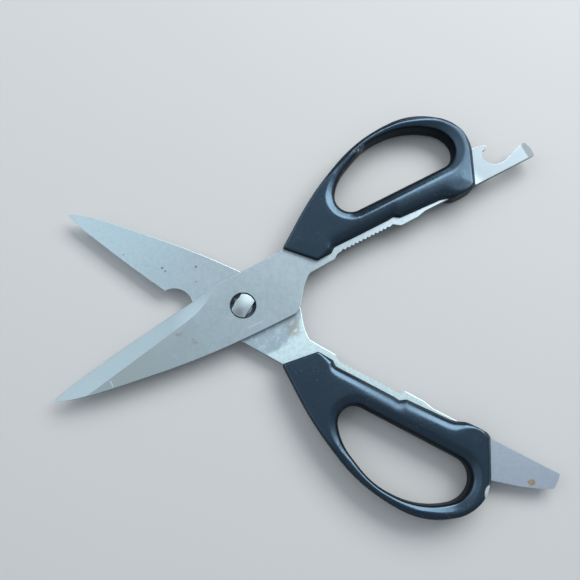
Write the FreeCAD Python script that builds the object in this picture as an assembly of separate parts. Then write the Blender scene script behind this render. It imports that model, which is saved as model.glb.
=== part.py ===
"""Take-apart poultry shears, lying open on their handles.

Each half is drawn closed, in a frame of its own: X runs from the tip to the handle along the line
that both halves share when the shears are shut, Y points away from the other half, and Z is up.
The lower half is the same blank turned over about X. Each half is then swung out by half of the
opening angle. The origin is where the pivot axis crosses the plane in which the halves slide.
Sizes are in millimetres and angles in degrees.
"""
import FreeCAD, Part
import math
import os

# Whole object
REST_OPENING = 55.2          # angle between the two halves as they lie
SLIDE_GAP = 0.04             # clearance between the two steel halves

# Steel halves
STEEL = 2.5                  # thickness of the stamped blanks
TIP_X = -85.0                # pivot to tip
PLATE_HALF_WIDTH = 13.0      # half width of the blade at the pivot
TANG_EDGE_Y = 12.0           # hidden outer side of the tang, inside the grip
EDGE_THICKNESS = 0.25        # steel left at the cutting edge
BEVEL_TIP_WIDTH = 7.4        # ground band at the tip end
BEVEL_HEEL_WIDTH = 5.2       # ground band near the pivot
TOOTH_COUNT = 13             # gripping teeth on the inner side of each tang
TOOTH_START_X = 47.0
TOOTH_PITCH = 1.95
TOOTH_DEPTH = 0.6
TOOTH_LINE_Y = 1.7           # tips of the teeth
LOCK_HOLE_RADIUS = 2.2       # plastic runs through these holes in the hidden tang
LOCK_HOLES = [(42.0, 9.4), (66.0, 8.3), (92.0, 8.3)]
NOTCH_CENTRE = (-25.4, 13.8) # bone notch in the lower blade
NOTCH_RADIUS = 8.0
NOTCH_FLARE = 1.8            # how far the notch is ground back on its outer side
OPENER_END_X = 144.7         # end of the bottle opener
LIP_LENGTH = 4.0             # its ground end
LIP_END_THICKNESS = 1.0
DRIVER_END_X = 145.0         # end of the lid lifter and screwdriver
DRIVER_TAPER_LENGTH = 9.0    # its ground end
DRIVER_END_THICKNESS = 1.2

# Pivot
RECESS_RADIUS = 5.3          # round recess in the upper half, which takes the stud's head
RECESS_DEPTH = 1.35
RECESS_CHAMFER = 0.3
NECK_RADIUS = 3.8            # round bearing of the stud
NECK_CLEARANCE = 0.06        # radial
HEAD_RADIUS = 4.98
HEAD_FLAT = 3.2              # from the axis to each flat of the head
HEAD_CROWN = 0.25            # how far the domed head stands above the recess rim
HEAD_DOME_RADIUS = 45.0
HEAD_ANGLE = 59.0            # long axis of the head, as the shears lie
SLOT_CLEARANCE = 0.15        # room round the head in the release slot
SHANK_RADIUS = 3.0
RIVET_RADIUS = 4.2
RIVET_CONE = 0.9
RIVET_CROWN = 0.3

# Handles
GRIP_HALF_HEIGHT = 6.0       # the loops are 12 thick and centred on the slide plane
FRONT_HALF_HEIGHT = 4.6      # thinner where the plastic meets the blade
FRONT_X = 25.0
FULL_HEIGHT_X = 60.0
OUTER_ROUNDING = 3.4         # top and bottom rims on the outside of the loop
OPENING_ROUNDING = 3.0       # the same round the finger opening
OPENING_SIDE_Y = 14.4        # straight inner side of the finger opening


def vec(x, y, z=0.0):
    return FreeCAD.Vector(x, y, z)


def polyline(points):
    """Straight edges through the points."""
    corners = [vec(*point) for point in points]
    return [Part.makeLine(start, end) for start, end in zip(corners, corners[1:])]


def curve(points):
    """One smooth edge through the points."""
    spline = Part.BSplineCurve()
    spline.interpolate([vec(*point) for point in points])
    return [spline.toShape()]


def plate(edges, low, high):
    """Flat solid between two heights, bounded by the edges."""
    outline = Part.Wire(Part.__sortEdges__(edges))
    face = Part.Face(outline)
    face.translate(vec(0, 0, low))
    return face.extrude(vec(0, 0, high - low))


def cylinder(x, y, radius, low, high):
    return Part.makeCylinder(radius, high - low, vec(x, y, low))


# ---------------------------------------------------------------- steel halves

def spine_edges():
    """Back of the blade, then the step in to the tang."""
    back = curve([(TIP_X, -0.2), (-70.8, -4.6), (-54.6, -7.4), (-38.0, -9.9), (-20.9, -11.7),
                  (-3.2, -12.7), (15.1, -PLATE_HALF_WIDTH)])
    corner = polyline([(15.1, -PLATE_HALF_WIDTH), (17.9, -PLATE_HALF_WIDTH)])
    neck = curve([(17.9, -PLATE_HALF_WIDTH), (20.3, -11.6), (23.9, -7.4), (27.3, -3.4), (31.2, -0.5)])
    return back + corner + neck


def edge_edges():
    """Cutting edge, then the blunt shoulder up to the handle."""
    tip = polyline([(TIP_X, -0.2), (TIP_X, 0.3)])
    cutting = curve([(TIP_X, 0.3), (-77.5, 2.3), (-67.0, 4.3), (-45.0, 7.8), (-20.0, 11.1),
                     (-8.0, 12.6), (0.0, PLATE_HALF_WIDTH)])
    shoulder = polyline([(0.0, PLATE_HALF_WIDTH), (26.0, 13.6)])
    return tip + cutting + shoulder


def tang_inner_edges():
    """Inner side of the tang from the neck to the tail: step, row of teeth, dip, straight run."""
    points = [(31.2, -0.5), (43.3, 0.0), (44.8, 1.2), (46.0, TOOTH_LINE_Y), (TOOTH_START_X, TOOTH_LINE_Y)]
    for tooth in range(TOOTH_COUNT - 1):
        root_x = TOOTH_START_X + (tooth + 0.75) * TOOTH_PITCH
        points.append((root_x, TOOTH_LINE_Y + TOOTH_DEPTH))
        points.append((root_x + 0.25 * TOOTH_PITCH, TOOTH_LINE_Y + 0.1))
        points.append((root_x + 0.6 * TOOTH_PITCH, TOOTH_LINE_Y))
    points += [(72.6, 2.2), (75.2, 0.2), (76.0, 0.0), (84.0, 0.1), (88.0, 1.0), (112.0, 1.0)]
    return polyline(points)


def tang_outer_edges(tail_start):
    """Hidden outer side of the tang, from the handle's front to where the tail comes out."""
    return polyline([(26.0, 13.6), (31.0, 12.6), (36.0, TANG_EDGE_Y), (106.0, TANG_EDGE_Y),
                     (113.5, 13.4), tail_start])


def opener_tail_edges():
    """Bottle opener: a hook with a beak and a round throat, and a bar with a ground lip at its end."""
    hook = curve([(117.0, 16.9), (121.9, 16.2), (125.6, 15.5), (127.0, 14.6), (126.5, 13.8),
                  (124.7, 13.3), (123.2, 12.4), (122.5, 10.6), (123.2, 8.2), (125.2, 5.9),
                  (128.3, 4.9), (131.5, 5.2)])
    end_x = OPENER_END_X
    bar = polyline([(131.5, 5.2), (end_x - 2.2, 8.6), (end_x - 1.1, 8.4), (end_x, 5.4), (end_x, 2.0),
                    (end_x - 0.7, 1.3), (112.0, 1.0)])
    return hook + bar


def driver_tail_edges():
    """Flat lid lifter and screwdriver: the tail narrows to a square end."""
    end_x = DRIVER_END_X
    return polyline([(117.0, 17.0), (132.3, 12.6), (139.8, 9.7), (end_x - 0.7, 7.5), (end_x, 6.8),
                     (end_x, 1.4), (end_x - 0.6, 0.8), (112.0, 1.0)])


def bevel_cutter():
    """Everything above the ground band, which slopes from the blade's face down to its edge."""
    # Each station is a point on the edge, how far the band reaches in from it, and its end height.
    stations = [
        (-90.0, -1.2, BEVEL_TIP_WIDTH, EDGE_THICKNESS),
        (-77.5, 2.3, BEVEL_TIP_WIDTH, EDGE_THICKNESS),
        (-67.0, 4.3, BEVEL_TIP_WIDTH, EDGE_THICKNESS),
        (-45.0, 7.8, 7.0, EDGE_THICKNESS),
        (-29.0, 9.9, 6.2, EDGE_THICKNESS),
        (-18.0, 11.4, BEVEL_HEEL_WIDTH, EDGE_THICKNESS),
        (-13.0, 12.0, 3.6, 0.9),
        (-8.5, 12.5, 1.0, 2.2),
    ]
    overshoot = 0.35
    low_points = []
    high_points = []
    for x, y, width, height in stations:
        slope = (STEEL - height) / width
        low_points.append(vec(x - 0.15 * overshoot * width, y + overshoot * width,
                              height - slope * overshoot * width))
        high_points.append(vec(x + 0.15 * (1 + overshoot) * width, y - (1 + overshoot) * width,
                               STEEL + slope * overshoot * width))
    rails = []
    for points in (low_points, high_points):
        rail = Part.BSplineCurve()
        rail.interpolate(points)
        rails.append(rail.toShape())
    return Part.makeRuledSurface(rails[0], rails[1]).extrude(vec(0, 0, 3 * STEEL))


def half_blank(tail_edges, tail_start):
    """Stamped and ground half before its own cut-outs, standing on the slide plane."""
    outline = spine_edges() + edge_edges() + tang_inner_edges() + tang_outer_edges(tail_start) + tail_edges
    blank = plate(outline, 0.0, STEEL)
    blank = blank.cut(bevel_cutter())
    for x, y in LOCK_HOLES:
        blank = blank.cut(cylinder(x, y, LOCK_HOLE_RADIUS, -1.0, STEEL + 1.0))
    return blank


def end_grinding(end_x, length, end_thickness):
    """Block that grinds a tail thinner towards its end, from the outer face only."""
    past = 2.0
    low = STEEL - (STEEL - end_thickness) * (length + past) / length
    profile = Part.makePolygon([vec(end_x - length, -5, STEEL), vec(end_x + past, -5, low),
                                vec(end_x + past, -5, 2 * STEEL), vec(end_x - length, -5, 2 * STEEL),
                                vec(end_x - length, -5, STEEL)])
    return Part.Face(profile).extrude(vec(0, 30, 0))


def make_upper_half():
    half = half_blank(opener_tail_edges(), (117.0, 16.9))
    half = half.cut(end_grinding(OPENER_END_X, LIP_LENGTH, LIP_END_THICKNESS))
    floor = STEEL - RECESS_DEPTH
    half = half.cut(cylinder(0, 0, RECESS_RADIUS, floor, STEEL + 1.0))
    half = half.cut(Part.makeCone(RECESS_RADIUS, RECESS_RADIUS + RECESS_CHAMFER, RECESS_CHAMFER,
                                  vec(0, 0, STEEL - RECESS_CHAMFER)))
    half = half.cut(cylinder(0, 0, NECK_RADIUS + NECK_CLEARANCE, -1.0, STEEL))
    slot_half_width = HEAD_FLAT + SLOT_CLEARANCE
    slot = Part.makeBox(2 * RECESS_RADIUS, 2 * slot_half_width, STEEL + 1.0,
                        vec(-RECESS_RADIUS, -slot_half_width, -1.0))
    slot = slot.common(cylinder(0, 0, RECESS_RADIUS, -1.0, STEEL))
    half = half.cut(slot)
    half.translate(vec(0, 0, SLIDE_GAP / 2))
    return half


def make_lower_half():
    half = half_blank(driver_tail_edges(), (117.0, 17.0))
    half = half.cut(end_grinding(DRIVER_END_X, DRIVER_TAPER_LENGTH, DRIVER_END_THICKNESS))
    notch_x, notch_y = NOTCH_CENTRE
    half = half.cut(cylinder(notch_x, notch_y, NOTCH_RADIUS, -1.0, STEEL + 1.0))
    half = half.cut(Part.makeCone(NOTCH_RADIUS, NOTCH_RADIUS + NOTCH_FLARE, STEEL - EDGE_THICKNESS,
                                  vec(notch_x, notch_y, EDGE_THICKNESS)))
    half = half.cut(cylinder(0, 0, SHANK_RADIUS, -1.0, STEEL + 1.0))
    half = half.cut(Part.makeCone(SHANK_RADIUS, RIVET_RADIUS, RIVET_CONE, vec(0, 0, STEEL - RIVET_CONE)))
    half.translate(vec(0, 0, SLIDE_GAP / 2))
    return half


# ---------------------------------------------------------------- pivot stud

def make_stud():
    """Headed pin: countersunk rivet end, shank, round neck and a domed head with two flats."""
    base = -SLIDE_GAP / 2
    rivet_low = base - STEEL
    shank = cylinder(0, 0, SHANK_RADIUS, rivet_low, base)
    rivet = Part.makeCone(RIVET_RADIUS, SHANK_RADIUS, RIVET_CONE, vec(0, 0, rivet_low))
    crown = Part.makeCone(RIVET_RADIUS - 0.8, RIVET_RADIUS, RIVET_CROWN, vec(0, 0, rivet_low - RIVET_CROWN))
    head_low = SLIDE_GAP / 2 + STEEL - RECESS_DEPTH + SLIDE_GAP
    head_high = SLIDE_GAP / 2 + STEEL + HEAD_CROWN
    neck = cylinder(0, 0, NECK_RADIUS, base, head_low)
    head = cylinder(0, 0, HEAD_RADIUS, head_low, head_high + 1.0)
    head = head.common(Part.makeBox(4 * HEAD_RADIUS, 2 * HEAD_FLAT, 10, vec(-2 * HEAD_RADIUS, -HEAD_FLAT, 0)))
    dome = Part.makeSphere(HEAD_DOME_RADIUS, vec(0, 0, head_high - HEAD_DOME_RADIUS))
    head = head.common(dome)
    head.rotate(vec(0, 0), vec(0, 0, 1), HEAD_ANGLE)
    stud = shank.fuse([rivet, crown, neck, head]).removeSplitter()
    return stud


# ---------------------------------------------------------------- handles

# Corners of the plan outlines: x, y and the radius that rounds the corner.
LOOP_CORNERS = [
    (25.7, 14.0, 0.0), (36.3, 2.7, 0.0),                                   # front edge
    (45.0, 3.6, 20.0), (97.0, 2.1, 10.0),                                  # beside the steel strip
    (102.0, 0.06, 5.0), (111.0, 0.06, 4.0), (112.7, 0.9, 0.0),             # lip that meets its twin
    (120.5, 17.0, 18.0), (119.3, 30.8, 19.0),                              # end
    (104.0, 42.8, 30.0), (76.4, 42.8, 68.0), (47.5, 29.2, 150.0),          # curved outer limb
]
OPENING_CORNERS = [
    (49.6, OPENING_SIDE_Y, 6.8), (113.4, OPENING_SIDE_Y, 8.4), (113.4, 28.4, 11.0),
    (99.2, 39.0, 34.0), (78.8, 39.0, 34.0), (60.6, 30.7, 24.0),
]
# Recess along the strip side that leaves the teeth and the dip of the steel clear.
STRIP_CUT = [(43.4, -1.0), (43.4, 2.9), (45.3, 4.4), (71.5, 4.5), (74.2, 4.9), (77.4, 3.2), (81.0, 2.9),
             (81.0, -1.0)]


def rounded_prism(corners, low, high):
    """Solid over a polygon, each corner rounded by a tangent arc of its own radius."""
    starts, middles, ends = [], [], []
    for index, (x, y, radius) in enumerate(corners):
        corner = vec(x, y)
        back = (vec(*corners[index - 1][:2]) - corner).normalize()
        ahead = (vec(*corners[(index + 1) % len(corners)][:2]) - corner).normalize()
        half_angle = back.getAngle(ahead) / 2
        reach = radius / math.tan(half_angle)
        sagitta = radius / math.sin(half_angle) - radius
        starts.append(corner + back * reach)
        ends.append(corner + ahead * reach)
        middles.append(corner + (back + ahead).normalize() * sagitta)
    edges = []
    for index, (x, y, radius) in enumerate(corners):
        if radius > 0:
            edges.append(Part.Arc(starts[index], middles[index], ends[index]).toShape())
        edges.append(Part.makeLine(ends[index], starts[(index + 1) % len(corners)]))
    return plate(edges, low, high)


def height_profile():
    """Side view of the handle: thin at the front, full height along the grip."""
    h, f = GRIP_HALF_HEIGHT, FRONT_HALF_HEIGHT
    points = [(FRONT_X, -f), (FULL_HEIGHT_X, -h), (130.0, -h), (130.0, h), (FULL_HEIGHT_X, h), (FRONT_X, f)]
    corners = [vec(x, -10, z) for x, z in points]
    return Part.Face(Part.makePolygon(corners + corners[:1])).extrude(vec(0, 70, 0))


def round_rims(body, walls, radius):
    """Round the edges where the body's top and bottom meet the given upright walls."""
    rims = []
    for edge in body.Edges:
        box = edge.BoundBox
        level = box.ZMax - box.ZMin < 3.0 and min(abs(box.ZMin), abs(box.ZMax)) > 4.0
        if level and walls.distToShape(Part.Vertex(edge.CenterOfMass))[0] < 0.05:
            rims.append(edge)
    return body.makeFillet(radius, rims)


def make_handle(half):
    """Finger loop moulded round the tang of the given half."""
    profile = height_profile()
    loop = rounded_prism(LOOP_CORNERS, -10.0, 10.0)
    opening = rounded_prism(OPENING_CORNERS, -10.0, 10.0)
    outside = round_rims(loop.common(profile), Part.Compound(side_faces(loop)), OUTER_ROUNDING)
    inside = round_rims(profile.cut(opening), Part.Compound(side_faces(opening)), OPENING_ROUNDING)
    strip = plate(polyline(STRIP_CUT + STRIP_CUT[:1]), -10.0, 10.0)
    return outside.common(inside).cut(strip).cut(half)


def side_faces(prism):
    """Upright faces of a prism."""
    return [face for face in prism.Faces if abs(face.normalAt(0, 0).z) < 0.5]


# ---------------------------------------------------------------- assembly

def turn_over(shape):
    """The lower half is the upper one's blank turned over about X."""
    shape.rotate(vec(0, 0), vec(1, 0), 180)
    return shape


def swing(shape, angle):
    shape.rotate(vec(0, 0), vec(0, 0, 1), angle)
    return shape


def main():
    upper_half = make_upper_half()
    lower_half = make_lower_half()
    upper_handle = make_handle(upper_half)
    lower_handle = make_handle(lower_half)
    swing_angle = REST_OPENING / 2
    parts = {
        "upper_blade": swing(upper_half, swing_angle),
        "upper_handle": swing(upper_handle, swing_angle),
        "lower_blade": swing(turn_over(lower_half), -swing_angle),
        "lower_handle": swing(turn_over(lower_handle), -swing_angle),
        "pivot_stud": make_stud(),
    }
    os.makedirs("parts", exist_ok=True)
    for name, shape in parts.items():
        shape.exportStep(f"parts/{name}.step")
        print(name, shape.isValid(), len(shape.Solids), round(shape.Volume, 1))


main()
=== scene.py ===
"""Looks of the take-apart poultry shears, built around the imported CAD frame.

Blender works in metres in the row frame. The lengths and places named below are in millimetres, except
those of the stage, which are in metres. A handle is shaped in the closed frame of one half: X along the
half from the pivot to its tail, Y away from the other half, Z up. Places on the steel and on the plastic
are in the row frame at rest.
"""
import itertools
import math

import bmesh
import bpy
import numpy as np
from mathutils import Matrix, Vector


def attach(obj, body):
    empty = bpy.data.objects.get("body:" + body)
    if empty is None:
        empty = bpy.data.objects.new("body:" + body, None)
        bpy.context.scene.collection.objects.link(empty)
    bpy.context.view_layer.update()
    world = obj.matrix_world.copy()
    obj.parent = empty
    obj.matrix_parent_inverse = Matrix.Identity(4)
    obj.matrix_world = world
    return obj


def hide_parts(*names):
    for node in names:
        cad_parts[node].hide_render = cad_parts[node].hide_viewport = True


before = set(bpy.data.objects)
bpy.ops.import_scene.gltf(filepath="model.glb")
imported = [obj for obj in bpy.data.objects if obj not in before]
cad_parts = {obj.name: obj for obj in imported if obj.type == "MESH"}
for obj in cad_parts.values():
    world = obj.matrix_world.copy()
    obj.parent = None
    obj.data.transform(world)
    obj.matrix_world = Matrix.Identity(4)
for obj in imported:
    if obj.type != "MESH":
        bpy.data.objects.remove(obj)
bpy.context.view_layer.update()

MM = 0.001
SWING = math.radians(27.6)        # each half is turned out by this much

# ------------------------------------------------------------------ driving values

# Handle
GRIP_HALF_HEIGHT = 6.0
FRONT_HALF_HEIGHT = 4.6
FRONT_X = 25.0
FULL_HEIGHT_X = 60.0
CREST_BLEND = 0.28                # how softly the two flanks meet along a crest
INNER_DROP = 4.2                  # height of the rounding down into the finger opening
RIM_SLOPE = math.tan(math.radians(20))   # slope at which the top falls to the opening and the outer limb
RIM_SCALE = 3.0                   # makes the field of a rounded rim grow about as fast as a distance
CROWN = 0.22                      # how much the top falls from the middle of a limb to its rims
CROWN_REACH = 7.0                 # distance from a rim at which the top has its full height
# Corners of the plan outlines: x, y and the radius that rounds the corner.
LOOP_CORNERS = [
    (25.7, 14.0, 0.5), (36.3, 2.7, 0.9), (43.3, 2.85, 0.4), (45.3, 4.4, 1.2), (71.8, 4.5, 1.5),
    (74.4, 4.8, 0.7), (76.7, 3.1, 0.8), (97.0, 2.1, 10.0), (102.0, 0.06, 5.0),
    (111.0, 0.06, 4.0), (112.7, 0.9, 0.5), (120.8, 18.2, 15.0), (119.7, 31.2, 17.0),
    (103.1, 42.8, 31.2), (76.4, 42.8, 68.0), (47.5, 29.2, 150.0),
]
OPENING_CORNERS = [
    (49.6, 14.4, 6.8), (113.4, 14.4, 8.4), (113.4, 28.4, 11.0), (99.2, 39.0, 34.0), (78.8, 39.0, 34.0),
    (60.6, 30.7, 24.0),
]

# How finely a handle is worked out
OUTLINE_STEP = 0.35               # spacing of the points along a rounded corner
PLAN_STEP = 0.2                   # grid on which the plan distances are worked out
PLAN_X = (22.0, 125.0)
PLAN_Y = (-4.0, 48.0)
CELL = 0.42                       # size of the handle's surface cells
CELLS_X = (22.6, 124.0)
CELLS_Y = (-2.4, 46.0)
CELLS_Z = (-6.6, 6.9)
SLOPE_REACH = 0.12                # distance to each side at which a slope is sampled
PULLS = 3                         # how many times the surface points are pulled onto the surface
LONGEST_PULL = 0.3
LEAST_SQUARED_SLOPE = 0.15        # keeps the pulls short where the field is nearly level

# Steel
BLADE_EDGE_WIDTH = 0.19           # rounding of the stamped edges
STUD_EDGE_WIDTH = 0.16
STUD_RIM_Z = 2.0                  # the stud is rounded only above this height
# The pivot's recess, the rows of teeth and the lifter tail keep crisp edges: place and reach.
CRISP_ZONES = (((0.0, 0.0), 8.0), ((51.5, 29.2), 14.0), ((51.5, -29.2), 14.0), ((112.0, -66.0), 24.0))
ROUNDED_ANGLE = math.radians(24)  # borders between faces that turn by less than this aren't rounded
CREASE_ANGLE = math.radians(6)    # creases beside a level face are crisp from here on
FLATTENED_ANGLE = math.radians(0.6)      # faces that turn by less than this are joined into one
FLAT = 0.99999                    # least upright part of a flat face's normal
NEARLY_FLAT = 0.9                 # the same for a face that counts as level beside a crease
WALL = 0.3                        # most upright part of a wall's normal

# Wear on the steel: place and radius of the blots and dark spots
BLOTS = ((-26.4, -12.4, 1.1), (-24.6, -11.6, 0.6), (-19.3, -15.6, 1.0), (-20.4, -14.2, 0.6))
DARK_SPOTS = ((-34.4, 16.3, 0.5), (-33.1, 15.0, 0.4), (-20.2, 16.9, 0.5), (-51.0, 22.0, 0.3))
# Start, end, half width and strength of the scratches
SCRATCHES = (((8.6, 2.5), (8.8, -6.2), 0.2, 0.25), ((8.7, -6.3), (2.2, -9.4), 0.3, 0.45),
             ((-53.0, -31.0), (-51.6, -33.6), 0.3, 0.7), ((-28.0, -20.6), (-26.0, -22.4), 0.3, 0.3))
RUBBED_CENTRE = (1.8, 1.5, 0.0)   # middle of the ring that the other half has rubbed
RUBBED_BORDER = (21.9, 23.9)      # distances between which the rubbed ring fades out
RUBBED_WOBBLE = 5.0               # how far the ring's border wanders
BRIGHT_STRIP_END = (92.0, 104.0)  # distances between which the bright strip fades out

# Wear on the plastic: where palms have dulled it, with place, reach and amount
PALM_MARKS = (((64, -31, 5), 15, 0.15), ((94, 72, 5), 13, 0.20))
PALM_FEATHER = 8

# Streaks fade out between these shares of their length, counted from the middle, and of their half width.
STREAK_ENDS = (0.42, 0.52)
STREAK_SIDES = (0.4, 1.2)

# Colours of the steel
STEEL_DARK = (0.47, 0.57, 0.61)
STEEL_LIGHT = (0.56, 0.665, 0.705)
SPECK = (0.25, 0.24, 0.22)
# Painted shade on the steep sheared walls of the steel
WALL_SHADE = (0.13, 0.15, 0.17)
# Painted highlight on the rounded edges of the steel
EDGE_HIGHLIGHT = (0.80, 0.90, 0.94, 1.0)
# Painted shade at the bottom of the recess round the stud
RECESS_SHADE = (0.05, 0.065, 0.075)
GROUND_BAND = (0.51, 0.63, 0.67)
GROUND_BAND_END = (0.68, 0.82, 0.88)
DULL_FILM = (0.42, 0.47, 0.45)
BLOT = (0.30, 0.25, 0.19)
SCRATCH = (0.76, 0.90, 0.95)
OPENER_BAR = (0.30, 0.36, 0.39)
OPENER_LIP = (0.33, 0.37, 0.38)
NECK = (0.545, 0.665, 0.74)
POLISHED = (0.70, 0.87, 0.97)
UNRUBBED = (0.80, 0.98, 1.0)
SMEAR = (0.46, 0.46, 0.40)
LIFTER_TAIL = (0.64, 0.72, 0.83)
COOL_TIP = (0.56, 0.715, 0.78)
DARK_SPOT = (0.13, 0.12, 0.11)
RUST = (0.62, 0.34, 0.15)
# Painted highlight on the stud head's side towards the light
STUD_HIGHLIGHT = (0.84, 0.98, 1.0)
# Brown stain and painted shade on the stud head's side away from the light
STUD_STAIN_AND_SHADE = (0.25, 0.23, 0.22)

# Colours of the plastic
PLASTIC_DARK = (0.0018, 0.0026, 0.0042)
PLASTIC_LIGHT = (0.0042, 0.0060, 0.0090)
PLASTIC_SHEEN = (0.46, 0.73, 1.0, 1.0)
DUST = (0.16, 0.18, 0.20)
BARE_CHIP = (0.78, 0.82, 0.84)
SCUFF = (0.16, 0.22, 0.28)

# Stage
FLOOR_HALF_WIDTH = 3.0
FLOOR_DARK = (0.74, 0.735, 0.72)
FLOOR_LIGHT = (0.77, 0.765, 0.75)
# Area lights: name, place, aim, size, power and colour.
LIGHTS = (
    ("window", (0.45, 0.60, 0.67), (0.02, 0, 0), (0.95, 0.52), 7.4, (0.95, 0.98, 1.0)),
    ("sky", (-0.60, 0.42, 0.68), (-0.03, 0, 0), (1.00, 0.80), 1.6, (0.90, 0.96, 1.0)),
    ("fill", (-0.6, -0.1, 0.7), (0, 0, 0), (0.9, 0.9), 0.8, (0.86, 0.93, 1.0)),
)
ROOM_COLOUR = (0.80, 0.90, 1.0, 1.0)
# The room is lit from above. It gets darker towards the horizon, the viewer's side and the far wall: each
# fade has its axis, the part of the direction at which it starts and ends, and the light at each.
ROOM_FADES = ((2, 0.05, 0.75, 0.14, 0.46), (1, -0.35, 0.25, 0.62, 1.20), (1, 0.42, 0.80, 1.00, 0.45))
CAMERA_PLACE = (0.0134, -0.0473, 0.2678)
CAMERA_TURN = (-11.48, 1.31, -0.03)      # degrees about X, Y and Z
CAMERA_LENS = 40.34
CAMERA_SENSOR = 36.0
CAMERA_NEAR = 0.01


# ------------------------------------------------------------------ handle surface

def rounded_outline(corners):
    """Closed outline of points along a polygon whose corners are rounded by tangent arcs."""
    points = []
    count = len(corners)
    for index, (x, y, radius) in enumerate(corners):
        corner = np.array([x, y])
        back = np.array(corners[index - 1][:2]) - corner
        ahead = np.array(corners[(index + 1) % count][:2]) - corner
        back /= np.linalg.norm(back)
        ahead /= np.linalg.norm(ahead)
        half_angle = math.acos(float(np.clip(back @ ahead, -1, 1))) / 2
        bisector = (back + ahead) / np.linalg.norm(back + ahead)
        centre = corner + bisector * radius / math.sin(half_angle)
        start = corner + back * radius / math.tan(half_angle) - centre
        end = corner + ahead * radius / math.tan(half_angle) - centre
        turn = math.atan2(start[0] * end[1] - start[1] * end[0], start @ end)
        steps = max(2, int(abs(turn) * radius / OUTLINE_STEP))
        for step in range(steps + 1):
            angle = turn * step / steps
            points.append(centre + [start[0] * math.cos(angle) - start[1] * math.sin(angle),
                                    start[0] * math.sin(angle) + start[1] * math.cos(angle)])
    return np.array(points)


def signed_distance(xs, ys, outline):
    """Distance from each grid point to the outline, positive inside it."""
    px, py = [a.ravel() for a in np.meshgrid(xs, ys, indexing="ij")]
    best = np.full(px.shape, 1e9)
    inside = np.zeros(px.shape, bool)
    for (ax, ay), (bx, by) in zip(outline, np.roll(outline, -1, axis=0)):
        dx, dy = bx - ax, by - ay
        length = dx * dx + dy * dy
        if length < 1e-12:
            continue
        t = np.clip(((px - ax) * dx + (py - ay) * dy) / length, 0, 1)
        best = np.minimum(best, (px - ax - t * dx) ** 2 + (py - ay - t * dy) ** 2)
        crosses = (ay > py) != (by > py)
        if abs(dy) > 1e-12:
            inside ^= crosses & (px < ax + (py - ay) * dx / dy)
    return (np.sqrt(best) * np.where(inside, 1, -1)).reshape(len(xs), len(ys))


def ramp(value, low, high):
    """Smooth step from 0 at low to 1 at high."""
    t = np.clip((value - low) / (high - low), 0, 1)
    return t * t * (3 - 2 * t)


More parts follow.
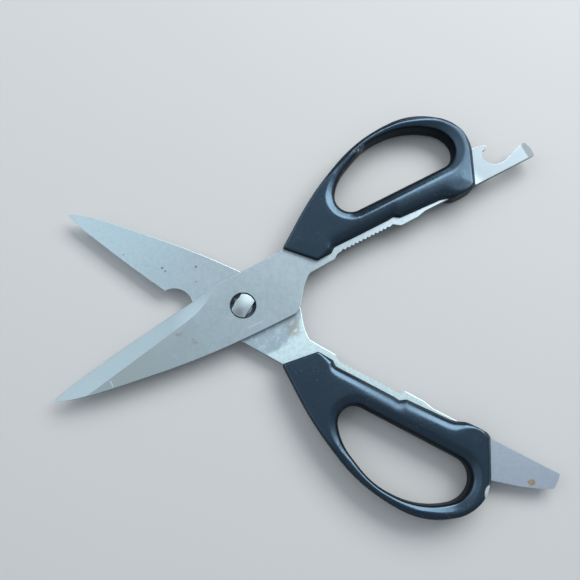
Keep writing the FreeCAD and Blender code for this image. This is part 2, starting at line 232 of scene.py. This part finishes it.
class HandleShape:
    """Handle of one half as a field that is positive inside the plastic."""

    def __init__(self):
        self.xs = np.arange(*PLAN_X, PLAN_STEP)
        self.ys = np.arange(*PLAN_Y, PLAN_STEP)
        x, y = np.meshgrid(self.xs, self.ys, indexing="ij")
        outer = signed_distance(self.xs, self.ys, rounded_outline(LOOP_CORNERS))
        inner = -signed_distance(self.xs, self.ys, rounded_outline(OPENING_CORNERS))
        # Zones of the plan: the side along the toothed strip, the outer limb, its far part, and the end.
        strip_side = (1 - ramp(y, 10.0, 16.0)) * ramp(x, 36.0, 48.0) * (1 - ramp(x, 98.0, 107.0))
        limb = ramp(y, 20.0, 33.0) * ramp(x, 48.0, 68.0)
        far_limb = limb * ramp(x, 102, 114)
        end = ramp(x, 108.0, 112.0) * (1 - ramp(y, 19.0, 25.0))
        # Rims: the value at the front, and what each zone adds to it. The width is how far a rim reaches
        # over the top, the drop how far down the wall, and the fall where the top's slope to it starts.
        outer_width = 0.9 + 5.2 * strip_side + 0.5 * limb + 0.9 * end
        outer_drop = 0.9 + 2.3 * strip_side + 1.9 * limb + 0.8 * end * (1 - limb)
        outer_bow = 2.0 - 0.8 * end
        outer_fall = 3.6 * limb - 1.2 * far_limb
        inner_width = 3.8 - 1.9 * limb
        inner_fall = 4.3 - 0.9 * limb + 0.9 * far_limb
        height = GRIP_HALF_HEIGHT - (GRIP_HALF_HEIGHT - FRONT_HALF_HEIGHT) * np.clip(
            (FULL_HEIGHT_X - x) / (FULL_HEIGHT_X - FRONT_X), 0, 1)
        height = height - CROWN * (1 - ramp(np.minimum(outer, inner), 0.0, CROWN_REACH))
        self.plan = np.stack([outer, inner, outer_width, outer_drop, outer_bow, outer_fall, inner_width,
                              inner_fall, height], axis=-1)

    def value(self, plan, z):
        """Field at points whose plan values and heights are given."""
        (outer, inner, outer_width, outer_drop, outer_bow, outer_fall, inner_width, inner_fall,
         height) = np.moveaxis(plan, -1, 0)
        depth = height - np.abs(z)

        def rim(distance, width, drop, power):
            """Rounded rim: power 2 is a quarter ellipse and power 1 a plain chamfer."""
            across = np.maximum(1e-6, 1 - distance / width)
            down = np.maximum(1e-6, 1 - depth / drop)
            return RIM_SCALE * (1 - (across ** power + down ** power) ** (1 / power))

        def both(a, b):
            """Inside both fields, with a soft crest where they meet."""
            blend = np.maximum(CREST_BLEND - np.abs(a - b), 0) / CREST_BLEND
            return np.minimum(a, b) - blend * blend * CREST_BLEND / 4

        outer_rim = rim(outer, outer_width, outer_drop, outer_bow)
        inner_rim = rim(inner, inner_width, INNER_DROP, 2.0)
        outside = both(outer_rim, depth - RIM_SLOPE * (outer_fall - outer))
        inside = both(inner_rim, depth - RIM_SLOPE * (inner_fall - inner))
        return both(outside, inside)

    def at(self, points):
        """Field at any points, from the plan grid by bilinear interpolation."""
        u = (points[:, 0] - self.xs[0]) / PLAN_STEP
        v = (points[:, 1] - self.ys[0]) / PLAN_STEP
        i = np.clip(u.astype(int), 0, len(self.xs) - 2)
        j = np.clip(v.astype(int), 0, len(self.ys) - 2)
        s = (u - i)[:, None]
        t = (v - j)[:, None]
        plan = ((self.plan[i, j] * (1 - s) + self.plan[i + 1, j] * s) * (1 - t)
                + (self.plan[i, j + 1] * (1 - s) + self.plan[i + 1, j + 1] * s) * t)
        return self.value(plan, points[:, 2])

    def gradient(self, points):
        """Slope of the field at any points."""
        slopes = []
        for axis in range(3):
            offset = np.zeros(3)
            offset[axis] = SLOPE_REACH
            slopes.append((self.at(points + offset) - self.at(points - offset)) / (2 * SLOPE_REACH))
        return np.stack(slopes, axis=-1)

    def mesh(self):
        """Points and quads of the plastic's surface: one point in each cell that the surface crosses."""
        axes = [np.arange(*span, CELL) for span in (CELLS_X, CELLS_Y, CELLS_Z)]
        grid = np.stack(np.meshgrid(*axes, indexing="ij"), axis=-1)
        shape = grid.shape[:3]
        field = self.at(grid.reshape(-1, 3)).reshape(shape)
        cells = tuple(n - 1 for n in shape)
        total = np.zeros(cells + (3,))
        count = np.zeros(cells)
        crossings = []
        for axis in range(3):
            low = np.take(field, range(shape[axis] - 1), axis)
            high = np.take(field, range(1, shape[axis]), axis)
            crosses = (low > 0) != (high > 0)
            crossings.append((crosses, low > 0))
            share = np.where(crosses, low / np.where(crosses, low - high, 1), 0)
            start = np.take(grid, range(shape[axis] - 1), axis).copy()
            start[..., axis] += share * CELL
            others = [a for a in range(3) if a != axis]
            for shift in itertools.product((0, 1), repeat=2):
                window = [slice(None)] * 3
                for other, step in zip(others, shift):
                    window[other] = slice(step, step + cells[other])
                window = tuple(window)
                total += np.where(crosses[window][..., None], start[window], 0)
                count += crosses[window]
        used = count > 0
        number = np.full(cells, -1)
        number[used] = np.arange(used.sum())
        points = total[used] / count[used][:, None]
        quads = []
        for axis, (crosses, low_inside) in enumerate(crossings):
            others = [a for a in range(3) if a != axis]
            where = np.argwhere(crosses)
            keep = (where[:, others[0]] > 0) & (where[:, others[1]] > 0)
            where = where[keep]
            forward = low_inside[tuple(where.T)]
            ring = []
            for shift in ((1, 1), (0, 1), (0, 0), (1, 0)):
                cell = where.copy()
                cell[:, others[0]] -= shift[0]
                cell[:, others[1]] -= shift[1]
                ring.append(number[tuple(cell.T)])
            quad = np.stack(ring, axis=-1)
            # Every quad is listed so that its normal points out of the plastic.
            flip = forward if axis != 1 else ~forward
            quad[~flip] = quad[~flip][:, ::-1]
            quads.append(quad)
        for _ in range(PULLS):
            slope = self.gradient(points)
            size = np.maximum((slope * slope).sum(1), LEAST_SQUARED_SLOPE)
            step = -(self.at(points) / size)[:, None] * slope
            points = points + np.clip(step, -LONGEST_PULL, LONGEST_PULL)
        return points, np.concatenate(quads)


def mesh_object(name, points, faces, smooth=True):
    """Object made of points in metres and faces, put into the scene."""
    mesh = bpy.data.meshes.new(name)
    mesh.from_pydata([tuple(p) for p in points], [], [tuple(int(i) for i in f) for f in faces])
    mesh.validate()
    mesh.polygons.foreach_set("use_smooth", [smooth] * len(mesh.polygons))
    mesh.update()
    piece = bpy.data.objects.new(name, mesh)
    bpy.context.scene.collection.objects.link(piece)
    return piece


def swing_points(points, turned_over):
    """From the closed frame of one half, in millimetres, to the row frame, in metres."""
    x, y, z = points.T * MM
    angle = SWING
    if turned_over:
        y, z, angle = -y, -z, -SWING
    along = x * math.cos(angle) - y * math.sin(angle)
    across = x * math.sin(angle) + y * math.cos(angle)
    return np.stack([along, across, z], -1)


# ------------------------------------------------------------------ materials

class Nodes:
    """Short way to build a material's node tree."""

    def __init__(self, name):
        self.material = bpy.data.materials.new(name)
        self.material.use_nodes = True
        self.tree = self.material.node_tree
        self.shader = self.tree.nodes["Principled BSDF"]
        self.place = self.add("ShaderNodeTexCoord").outputs["Object"]

    def add(self, kind, **settings):
        node = self.tree.nodes.new(kind)
        for key, value in settings.items():
            setattr(node, key, value)
        return node

    def put(self, socket, value):
        """Feed a socket from another one, or set it to a plain value."""
        if isinstance(value, bpy.types.NodeSocket):
            self.tree.links.new(value, socket)
        else:
            socket.default_value = value

    def math(self, operation, a, b=0.0):
        node = self.add("ShaderNodeMath", operation=operation)
        self.put(node.inputs[0], a)
        self.put(node.inputs[1], b)
        return node.outputs[0]

    def plus(self, a, b):
        return self.math("ADD", a, b)

    def times(self, a, b):
        return self.math("MULTIPLY", a, b)

    def split(self, vector):
        """X, Y and Z of a vector."""
        node = self.add("ShaderNodeSeparateXYZ")
        self.put(node.inputs[0], vector)
        return node.outputs

    def stretched_place(self, scale, turn):
        """Place turned about Z and scaled along each axis, for noise drawn out into lines."""
        node = self.add("ShaderNodeMapping", vector_type="POINT")
        self.put(node.inputs["Vector"], self.place)
        node.inputs["Rotation"].default_value = (0, 0, turn)
        node.inputs["Scale"].default_value = scale
        return node.outputs[0]

    def noise(self, scale, detail, rough, place=None):
        """Noise with a scale in cells per metre, a number of finer layers and their strength."""
        node = self.add("ShaderNodeTexNoise")
        self.put(node.inputs["Vector"], self.place if place is None else place)
        node.inputs["Scale"].default_value = scale
        node.inputs["Detail"].default_value = detail
        node.inputs["Roughness"].default_value = rough
        return node.outputs["Fac"]

    def remap(self, value, low, high, to_low=0.0, to_high=1.0):
        """Smooth step from to_low to to_high while the value goes from low to high."""
        node = self.add("ShaderNodeMapRange", interpolation_type="SMOOTHSTEP")
        self.put(node.inputs["Value"], value)
        for socket, number in zip(("From Min", "From Max", "To Min", "To Max"), (low, high, to_low, to_high)):
            self.put(node.inputs[socket], number)
        return node.outputs["Result"]

    def mix(self, share, a, b):
        node = self.add("ShaderNodeMix", data_type="RGBA")
        self.put(node.inputs["Factor"], share)
        # The node's colour sockets can only be told from its number and vector sockets by their place.
        for socket, colour in ((node.inputs[6], a), (node.inputs[7], b)):
            self.put(socket, colour if isinstance(colour, bpy.types.NodeSocket) else (*colour, 1.0))
        return node.outputs[2]

    def near(self, centre, radius, feather, stretch=(1, 1, 1)):
        """1 close to a point of the row frame and 0 away from it; a stretch over 1 narrows that axis."""
        offset = self.add("ShaderNodeVectorMath", operation="SUBTRACT")
        self.put(offset.inputs[0], self.place)
        offset.inputs[1].default_value = [c * MM for c in centre]
        scale = self.add("ShaderNodeVectorMath", operation="MULTIPLY")
        self.put(scale.inputs[0], offset.outputs[0])
        scale.inputs[1].default_value = stretch
        length = self.add("ShaderNodeVectorMath", operation="LENGTH")
        self.put(length.inputs[0], scale.outputs[0])
        return self.remap(length.outputs["Value"], (radius - feather) * MM, (radius + feather) * MM, 1.0, 0.0)

    def streak(self, start, end, half_width):
        """1 along a straight line between two points of the row frame, seen from above."""
        (ax, ay), (bx, by) = start, end
        length = math.hypot(bx - ax, by - ay)
        shift = self.add("ShaderNodeVectorMath", operation="SUBTRACT")
        self.put(shift.inputs[0], self.place)
        shift.inputs[1].default_value = ((ax + bx) / 2 * MM, (ay + by) / 2 * MM, 0)
        turned = self.add("ShaderNodeVectorRotate", rotation_type="Z_AXIS")
        self.put(turned.inputs["Vector"], shift.outputs[0])
        turned.inputs["Angle"].default_value = -math.atan2(by - ay, bx - ax)
        share = 1.0
        x, y, _ = self.split(turned.outputs[0])
        for distance, size, (full, none) in ((x, length, STREAK_ENDS), (y, half_width, STREAK_SIDES)):
            fade = self.remap(self.math("ABSOLUTE", distance), full * size * MM, none * size * MM, 1.0, 0.0)
            share = self.times(fade, share)
        return share

    def steeper(self, start, full):
        """0 on faces tilted by less than the first angle and 1 on those tilted by more than the second."""
        upright = self.split(self.add("ShaderNodeNewGeometry").outputs["Normal"])[2]
        cosines = math.cos(math.radians(full)), math.cos(math.radians(start))
        return self.remap(self.math("ABSOLUTE", upright), *cosines, 1.0, 0.0)

    def bump(self, height, distance, strength, under=None):
        node = self.add("ShaderNodeBump")
        self.put(node.inputs["Height"], height)
        node.inputs["Distance"].default_value = distance * MM
        node.inputs["Strength"].default_value = strength
        if under is not None:
            self.put(node.inputs["Normal"], under)
        return node.outputs["Normal"]


class Steel:
    """Satin stainless steel: fine grinding lines, fine mottling, and painted shade on the sheared walls."""

    def __init__(self, name, grind_turn):
        n = self.nodes = Nodes(name)
        self.lines = n.noise(1.0, 4.0, 0.65, n.stretched_place((900, 11000, 900), grind_turn))
        self.fine = n.noise(5200.0, 2.0, 0.6)
        self.mottle = n.noise(600.0, 5.0, 0.78)
        broad = n.noise(60.0, 2.0, 0.5)
        tone = n.plus(n.times(self.mottle, 0.7), n.times(broad, 0.3))
        self.colour = n.mix(n.remap(tone, 0.32, 0.68), STEEL_DARK, STEEL_LIGHT)
        self.stain(n.remap(n.noise(420.0, 1.0, 0.4), 0.76, 0.785), SPECK, 0.5)
        self.rough = n.plus(n.plus(n.times(self.mottle, 0.10), n.times(self.lines, 0.12)), 0.30)

    def stain(self, mask, colour, strength=1.0):
        """Colour the steel where the mask is 1, over what it has so far."""
        n = self.nodes
        self.colour = n.mix(n.times(mask, strength), self.colour, colour)

    def roughen(self, mask, amount):
        n = self.nodes
        self.rough = n.plus(self.rough, n.times(mask, amount))

    def mottled(self, mask, low, high, least):
        """The mask broken up by the mottling, down to the least share of itself."""
        n = self.nodes
        return n.times(mask, n.remap(self.mottle, low, high, least, 1.0))

    def recess(self, floor_z):
        """Painted shade: the bottom of the recess round the stud is coloured dark, in patches."""
        n = self.nodes
        bottom = n.near((0, 0, floor_z), 5.5, 0.15, (1, 1, 2.6))
        patchy = n.remap(n.noise(700.0, 2.0, 0.5), 0.35, 0.65, 0.80, 1.0)
        self.stain(n.times(bottom, patchy), RECESS_SHADE)

    def done(self):
        """The finished material. The sheared walls are coloured darker than the faces: painted shade."""
        n = self.nodes
        # Painted shade: the steep walls are coloured dark.
        self.stain(n.steeper(70, 80), WALL_SHADE, 0.9)
        n.put(n.shader.inputs["Base Color"], self.colour)
        n.put(n.shader.inputs["Metallic"], 1.0)
        n.put(n.shader.inputs["Roughness"], self.rough)
        lines = n.bump(self.lines, 0.006, 0.6)
        n.put(n.shader.inputs["Normal"], n.bump(self.fine, 0.005, 0.6, lines))
        return n.material


def upper_steel():
    steel = Steel("upper_steel", -SWING)
    n = steel.nodes
    # Painted shade in the recess round the stud.
    steel.recess(0.9)
    # The ground band is clean and bright. The flat beside it has a dull film, warmer towards the tip.
    ground = n.steeper(7, 12)
    band = n.times(ground, n.near((-46, -14, 2.0), 50, 4))
    film = n.times(n.math("SUBTRACT", 1.0, ground), n.near((-60, -30, 2.5), 34, 22))
    steel.stain(steel.mottled(band, 0.35, 0.65, 0.55), GROUND_BAND)
    steel.stain(n.times(band, n.near((-17, -5, 2.2), 9, 6)), GROUND_BAND_END, 0.8)
    steel.roughen(band, 0.06)
    steel.stain(steel.mottled(film, 0.3, 0.7, 0.6), DULL_FILM, 0.7)
    for x, y, radius in BLOTS:
        patchy = n.remap(n.noise(1100.0, 3.0, 0.6), 0.38, 0.62, 0.1, 1.0)
        steel.stain(n.times(n.near((x, y, 2.5), radius, 0.6, (1, 1.3, 1)), patchy), BLOT, 0.55)
    # Scratches are lighter than the satin round them.
    for start, end, half_width, strength in SCRATCHES:
        steel.stain(n.streak(start, end, half_width), SCRATCH, strength)
    # The opener's bar is duller and greyer than the blade.
    bar = n.near((112, 68, 1.2), 16, 3)
    steel.stain(bar, OPENER_BAR, 0.85)
    steel.roughen(bar, 0.08)
    steel.stain(n.times(ground, n.near((120, 68, 1.2), 10, 2)), OPENER_LIP, 0.8)
    return steel.done()


def lower_steel():
    steel = Steel("lower_steel", SWING)
    n = steel.nodes
    streaky = n.remap(steel.mottle, 0.35, 0.62, 0.60, 1.0)
    steel.stain(n.times(n.near((12, -12, 0), 26, 3), streaky), NECK, 0.9)
    patches = n.remap(n.noise(380.0, 5.0, 0.7), 0.46, 0.66)
    steel.stain(n.times(n.near((15, -14, 0), 15, 5), patches), POLISHED, 0.75)
    # Outside the ring that the other half has rubbed, the neck and the strip are bright satin.
    wobble = n.times(n.math("SUBTRACT", n.noise(260.0, 5.0, 0.7), 0.5), RUBBED_WOBBLE * MM)
    distance = n.add("ShaderNodeVectorMath", operation="DISTANCE")
    n.put(distance.inputs[0], n.place)
    distance.inputs[1].default_value = [c * MM for c in RUBBED_CENTRE]
    radius = n.plus(distance.outputs["Value"], wobble)
    past_ring = n.remap(radius, *(border * MM for border in RUBBED_BORDER))
    before_tail = n.remap(radius, *(border * MM for border in BRIGHT_STRIP_END), 1.0, 0.0)
    behind_pivot = n.remap(n.split(n.place)[0], 4 * MM, 5 * MM)
    bright = n.times(n.times(past_ring, before_tail), behind_pivot)
    steel.stain(n.times(bright, streaky), UNRUBBED)
    steel.roughen(bright, 0.12)
    patches = n.remap(n.noise(420.0, 3.0, 0.6), 0.36, 0.54)
    steel.stain(n.times(n.near((20.8, -9.0, 0), 4.6, 2.0, (1.6, 1, 1)), patches), SMEAR, 0.65)
    # The lifter tail is paler than the blade.
    steel.stain(steel.mottled(n.near((112, -66, -1), 21, 3), 0.3, 0.7, 0.6), LIFTER_TAIL)
    # Painted shade in the recess round the stud.
    steel.recess(0.0)
    # Cooler and brighter towards the tip.
    steel.stain(steel.mottled(n.near((-60, 28, 0), 34, 24), 0.3, 0.7, 0.4), COOL_TIP)
    for x, y, size in DARK_SPOTS:
        steel.stain(n.near((x, y, 0), size, 0.22), DARK_SPOT, 0.7)
    patches = n.remap(n.noise(800.0, 2.0, 0.5), 0.34, 0.60, 0.45, 1.0)
    steel.stain(n.times(n.near((116.2, -70.9, -0.5), 1.6, 0.6, (1, 1.3, 0.5)), patches), RUST, 0.9)
    return steel.done()


def stud_steel():
    steel = Steel("stud_steel", 1.0)
    n = steel.nodes
    # Painted highlight on the side of the stud's head towards the light.
    steel.stain(n.near((2.0, 3.0, 2.6), 3.0, 2.2), STUD_HIGHLIGHT, 0.95)
    # Brown stain and painted shade on the side of the head away from the light.
    steel.stain(n.near((-1.9, -3.0, 2.6), 1.9, 1.5), STUD_STAIN_AND_SHADE, 0.6)
    return steel.done()


def edge_highlight():
    """Rounded edge of the steel, coloured bright as a painted highlight."""
    n = Nodes("edge_highlight")
    n.put(n.shader.inputs["Base Color"], EDGE_HIGHLIGHT)
    n.put(n.shader.inputs["Metallic"], 1.0)
    n.put(n.shader.inputs["Roughness"], 0.42)
    return n.material


def handle_plastic():
    """Black moulded plastic with fine grain and dust, polished on the top and dull on the walls."""
    n = Nodes("handle_plastic")
    grain = n.noise(2600.0, 3.0, 0.65)
    coarse = n.noise(1100.0, 3.0, 0.55)
    cloud = n.noise(60.0, 4.0, 0.6)
    colour = n.mix(cloud, PLASTIC_DARK, PLASTIC_LIGHT)
    dust = n.remap(n.noise(1600.0, 4.0, 0.65), 0.59, 0.69)
    patches = n.remap(n.noise(110.0, 2.0, 0.5), 0.40, 0.62, 0.15, 1.0)
    colour = n.mix(n.times(n.times(dust, patches), 0.50), colour, DUST)
    # Worn chip on the lower handle's end, and a nick and a scuff on the upper handle's limb.
    chip = n.near((97.3, -74.9, 4.6), 2.5, 0.3, (1.2, 0.75, 0.8))
    nick = n.near((48.9, 68.5, 4.2), 0.6, 0.2, (1.4, 0.8, 0.8))
    worn = n.times(n.math("MAXIMUM", chip, nick), n.remap(coarse, 0.35, 0.55, 0.6, 1.0))
    colour = n.mix(worn, colour, BARE_CHIP)
    scuffed = n.times(n.streak((46.7, 67.0), (51.7, 70.4), 0.9), n.remap(coarse, 0.42, 0.58))
    colour = n.mix(n.times(scuffed, 0.8), colour, SCUFF)
    n.put(n.shader.inputs["Base Color"], colour)
    rough = n.plus(n.times(coarse, 0.20), n.times(cloud, 0.08))
    # Duller where the palm has rubbed the lower grip beside the teeth, and at the upper grip's end.
    for place, reach, amount in PALM_MARKS:
        rough = n.plus(rough, n.times(n.near(place, reach, PALM_FEATHER), amount))
    # The walls are as the mould left them, duller than the top that hands have polished.
    wall = n.steeper(42, 64)
    rough = n.plus(n.plus(rough, 0.07), n.times(wall, 0.30))
    n.put(n.shader.inputs["Roughness"], rough)
    n.put(n.shader.inputs["IOR"], n.math("SUBTRACT", 1.7, n.times(wall, 0.5)))
    n.put(n.shader.inputs["Specular IOR Level"], 1.0)
    n.put(n.shader.inputs["Specular Tint"], PLASTIC_SHEEN)
    n.put(n.shader.inputs["Normal"], n.bump(grain, 0.03, 0.5, n.bump(coarse, 0.04, 0.24)))
    return n.material


# ------------------------------------------------------------------ pieces

def is_rounded(edge, is_stud):
    """True for a level border between a face and the wall beside it that wear has rounded."""
    if not edge.is_convex or edge.calc_face_angle() < ROUNDED_ANGLE:
        return False
    start, end = (vert.co for vert in edge.verts)
    has_wall = any(abs(face.normal.z) < WALL for face in edge.link_faces)
    is_level = abs(end.z - start.z) < 0.5 * (end - start).length
    middle = (start + end).xy / 2 / MM
    if is_stud:
        is_worn = min(start.z, end.z) > STUD_RIM_Z * MM
    else:
        is_worn = all((middle - Vector(place)).length > reach for place, reach in CRISP_ZONES)
    return has_wall and is_level and is_worn


def steel_piece(node, name, body, edge_width, material, highlight_material):
    """Fine copy of a CAD node with its stamped edges slightly rounded, standing for that node."""
    work = bmesh.new()
    work.from_mesh(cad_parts[node].data)
    bmesh.ops.remove_doubles(work, verts=work.verts, dist=1e-7)
    bmesh.ops.dissolve_limit(work, angle_limit=FLATTENED_ANGLE, verts=work.verts, edges=work.edges)
    work.normal_update()
    rounded = [edge for edge in work.edges if is_rounded(edge, node == "pivot_stud")]
    # The rounded edges take the second material, a painted highlight.
    bmesh.ops.bevel(work, geom=rounded, offset=edge_width * MM, segments=2, profile=0.5, affect="EDGES",
                    clamp_overlap=False, material=1)
    # Flats are shaded flat, and the creases between them and the ground surfaces stay crisp.
    work.normal_update()
    for face in work.faces:
        face.smooth = abs(face.normal.z) < FLAT
    for edge in work.edges:
        beside_level = any(abs(face.normal.z) > NEARLY_FLAT for face in edge.link_faces)
        edge.smooth = not (beside_level and edge.calc_face_angle(0.0) > CREASE_ANGLE)
    mesh = bpy.data.meshes.new(name)
    work.to_mesh(mesh)
    work.free()
    piece = bpy.data.objects.new(name, mesh)
    bpy.context.scene.collection.objects.link(piece)
    mesh.materials.append(material)
    mesh.materials.append(highlight_material)
    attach(piece, body)
    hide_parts(node)


def make_handles():
    points, quads = HandleShape().mesh()
    plastic = handle_plastic()
    handles = (("upper_handle", "upper_half", False), ("lower_handle", "lower_half", True))
    for node, body, turned_over in handles:
        piece = mesh_object(node.replace("handle", "grip"), swing_points(points, turned_over), quads)
        piece.data.materials.append(plastic)
        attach(piece, body)
        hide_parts(node)


def make_steel():
    # The rounded steel edges are coloured bright: painted highlight.
    edge = edge_highlight()
    steel_piece("upper_blade", "upper_steel", "upper_half", BLADE_EDGE_WIDTH, upper_steel(), edge)
    steel_piece("lower_blade", "lower_steel", "lower_half", BLADE_EDGE_WIDTH, lower_steel(), edge)
    steel_piece("pivot_stud", "stud", "lower_half", STUD_EDGE_WIDTH, stud_steel(), edge)


# ------------------------------------------------------------------ stage

def make_floor():
    w = FLOOR_HALF_WIDTH
    floor = mesh_object("floor", [(-w, -w, 0), (w, -w, 0), (w, w, 0), (-w, w, 0)], [(0, 1, 2, 3)], False)
    floor.location.z = -GRIP_HALF_HEIGHT * MM
    n = Nodes("floor")
    n.put(n.shader.inputs["Base Color"], n.mix(n.noise(6.0, 3.0, 0.5), FLOOR_DARK, FLOOR_LIGHT))
    n.put(n.shader.inputs["Roughness"], 0.7)
    floor.data.materials.append(n.material)


def area_light(name, place, target, size, power, colour):
    data = bpy.data.lights.new(name, "AREA")
    data.shape = "RECTANGLE"
    data.size, data.size_y = size
    data.energy = power
    data.color = colour
    lamp = bpy.data.objects.new(name, data)
    lamp.location = place
    lamp.rotation_euler = (Vector(target) - Vector(place)).to_track_quat("-Z", "Y").to_euler()
    bpy.context.scene.collection.objects.link(lamp)


def make_room():
    """Dim light from all round, as strong as its fades say."""
    world = bpy.data.worlds.new("room")
    world.use_nodes = True
    tree = world.node_tree
    background = tree.nodes["Background"]
    background.inputs["Color"].default_value = ROOM_COLOUR
    split = tree.nodes.new("ShaderNodeSeparateXYZ")
    tree.links.new(tree.nodes.new("ShaderNodeTexCoord").outputs["Generated"], split.inputs[0])
    unit = tree.nodes.new("ShaderNodeValue")
    strength = unit.outputs[0]
    strength.default_value = 1.0
    for axis, *numbers in ROOM_FADES:
        fade = tree.nodes.new("ShaderNodeMapRange")
        tree.links.new(split.outputs[axis], fade.inputs["Value"])
        for socket, number in zip(("From Min", "From Max", "To Min", "To Max"), numbers):
            fade.inputs[socket].default_value = number
        product = tree.nodes.new("ShaderNodeMath")
        product.operation = "MULTIPLY"
        tree.links.new(fade.outputs["Result"], product.inputs[0])
        tree.links.new(strength, product.inputs[1])
        strength = product.outputs[0]
    tree.links.new(strength, background.inputs["Strength"])
    bpy.context.scene.world = world
    bpy.context.scene.view_settings.view_transform = "Standard"


def make_camera():
    """Hand-held view from nearly straight above, a little towards the lower handle."""
    data = bpy.data.cameras.new("camera")
    data.sensor_width = CAMERA_SENSOR
    data.lens = CAMERA_LENS
    data.clip_start = CAMERA_NEAR
    camera = bpy.data.objects.new("camera", data)
    turns = [Matrix.Rotation(math.radians(angle), 3, axis) for angle, axis in zip(CAMERA_TURN, "XYZ")]
    turn = (turns[0] @ turns[1] @ turns[2]).transposed()
    camera.matrix_world = Matrix.Translation(CAMERA_PLACE) @ turn.to_4x4()
    bpy.context.scene.collection.objects.link(camera)
    bpy.context.scene.camera = camera


make_handles()
make_steel()
make_floor()
for light in LIGHTS:
    area_light(*light)
make_room()
make_camera()
